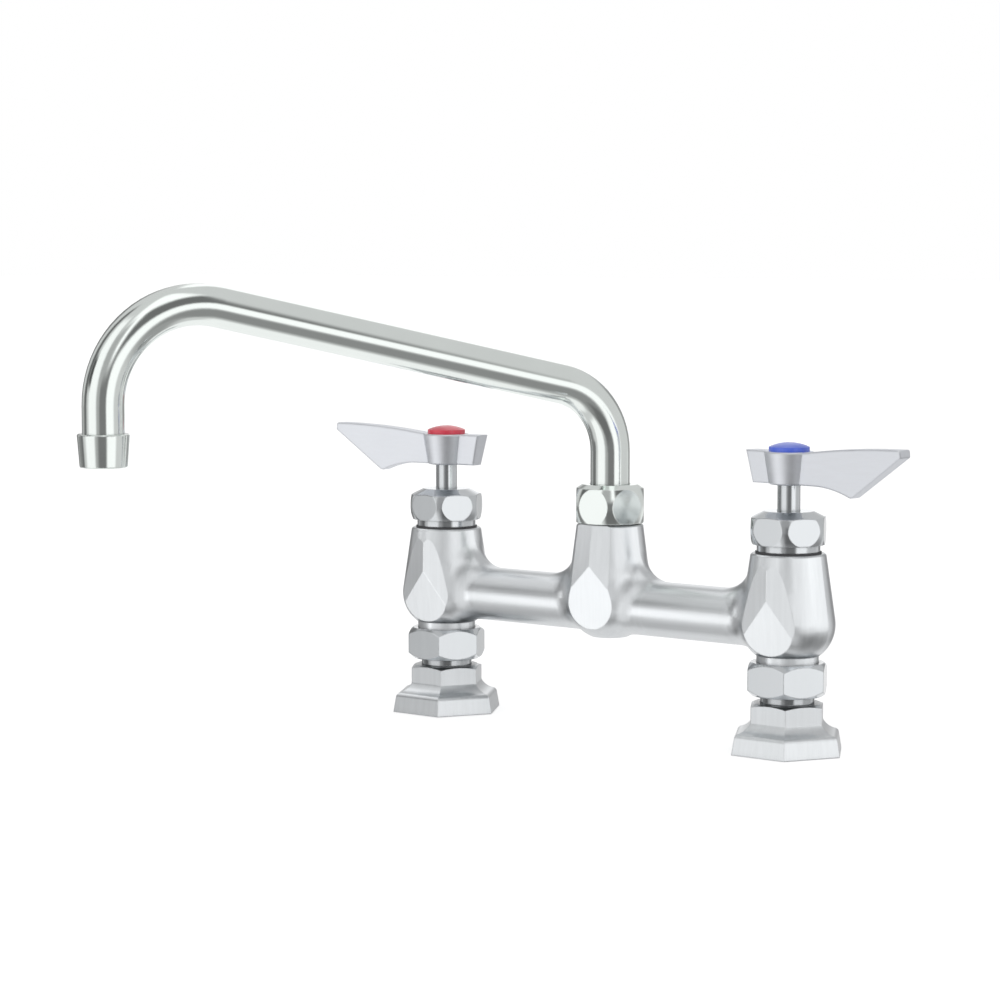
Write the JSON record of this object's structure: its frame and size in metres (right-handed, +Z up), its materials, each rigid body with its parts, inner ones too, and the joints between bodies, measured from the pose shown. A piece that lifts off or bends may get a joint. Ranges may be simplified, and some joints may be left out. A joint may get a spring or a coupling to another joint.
{
  "type": "deck mount swing spout faucet",
  "caption": "Deck mount bridge faucet: lever-handled hot and cold valves joined by a faceted cast body, with a tube spout that swings over the basin.",
  "frame": {"origin": "on the deck, midway between the hot and cold inlets", "axes": "+X from the hot valve to the cold valve, -Y towards the user, +Z up"},
  "size_m": [0.3338, 0.2651, 0.2168],
  "materials": {
    "satin_chrome": "satin chrome plate on cast brass",
    "polished_chrome": "bright chrome plate",
    "spout_chrome": "polished plate on the tube and its nut",
    "handle_chrome": "satin chrome plate on die cast metal",
    "inner_brass": "machined",
    "seal_rubber": "matt",
    "valve_ceramic": "lapped",
    "white_plastic": "moulded",
    "hot_red": "gloss",
    "cold_blue": "gloss"
  },
  "bodies": {
    "faucet": {"faucet_body": "satin_chrome", "spout_nut": "spout_chrome", "hot_base_flange": "satin_chrome", "hot_tailpiece": "polished_chrome", "hot_coupling_nut": "polished_chrome", "hot_union_washer": "seal_rubber", "hot_bonnet": "polished_chrome", "hot_bonnet_washer": "seal_rubber", "hot_cartridge_body": "inner_brass", "hot_cartridge_oring": "seal_rubber", "hot_seat_seal": "seal_rubber", "hot_fixed_disc": "valve_ceramic", "cold_base_flange": "satin_chrome", "cold_tailpiece": "polished_chrome", "cold_coupling_nut": "polished_chrome", "cold_union_washer": "seal_rubber", "cold_bonnet": "polished_chrome", "cold_bonnet_washer": "seal_rubber", "cold_cartridge_body": "inner_brass", "cold_cartridge_oring": "seal_rubber", "cold_seat_seal": "seal_rubber", "cold_fixed_disc": "valve_ceramic"},
    "hot_handle": {"hot_lever_handle": "handle_chrome", "hot_handle_screw": "polished_chrome", "hot_index_button": "hot_red", "hot_stem": "polished_chrome", "hot_stem_oring": "seal_rubber", "hot_moving_disc": "valve_ceramic"},
    "cold_handle": {"cold_lever_handle": "handle_chrome", "cold_handle_screw": "polished_chrome", "cold_index_button": "cold_blue", "cold_stem": "polished_chrome", "cold_stem_oring": "seal_rubber", "cold_moving_disc": "valve_ceramic"},
    "spout": {"spout_tube": "spout_chrome", "spout_swivel": "inner_brass", "spout_thrust_washer": "white_plastic", "spout_oring_upper": "seal_rubber", "spout_oring_lower": "seal_rubber", "outlet_collar": "spout_chrome", "aerator_insert": "white_plastic", "aerator_washer": "seal_rubber"}
  },
  "joints": [
    {"name": "spout_swing", "type": "hinge", "parent": "faucet", "child": "spout", "pos_m": [0, 0, 0.112], "axis": [0, 0, 1], "continuous": true},
    {"name": "hot_handle_turn", "type": "hinge", "parent": "faucet", "child": "hot_handle", "pos_m": [-0.1016, 0, 0.112], "axis": [0, 0, 1], "range_deg": [0, 90]},
    {"name": "cold_handle_turn", "type": "hinge", "parent": "faucet", "child": "cold_handle", "pos_m": [0.1016, 0, 0.112], "axis": [0, 0, -1], "range_deg": [0, 90]}
  ]
}
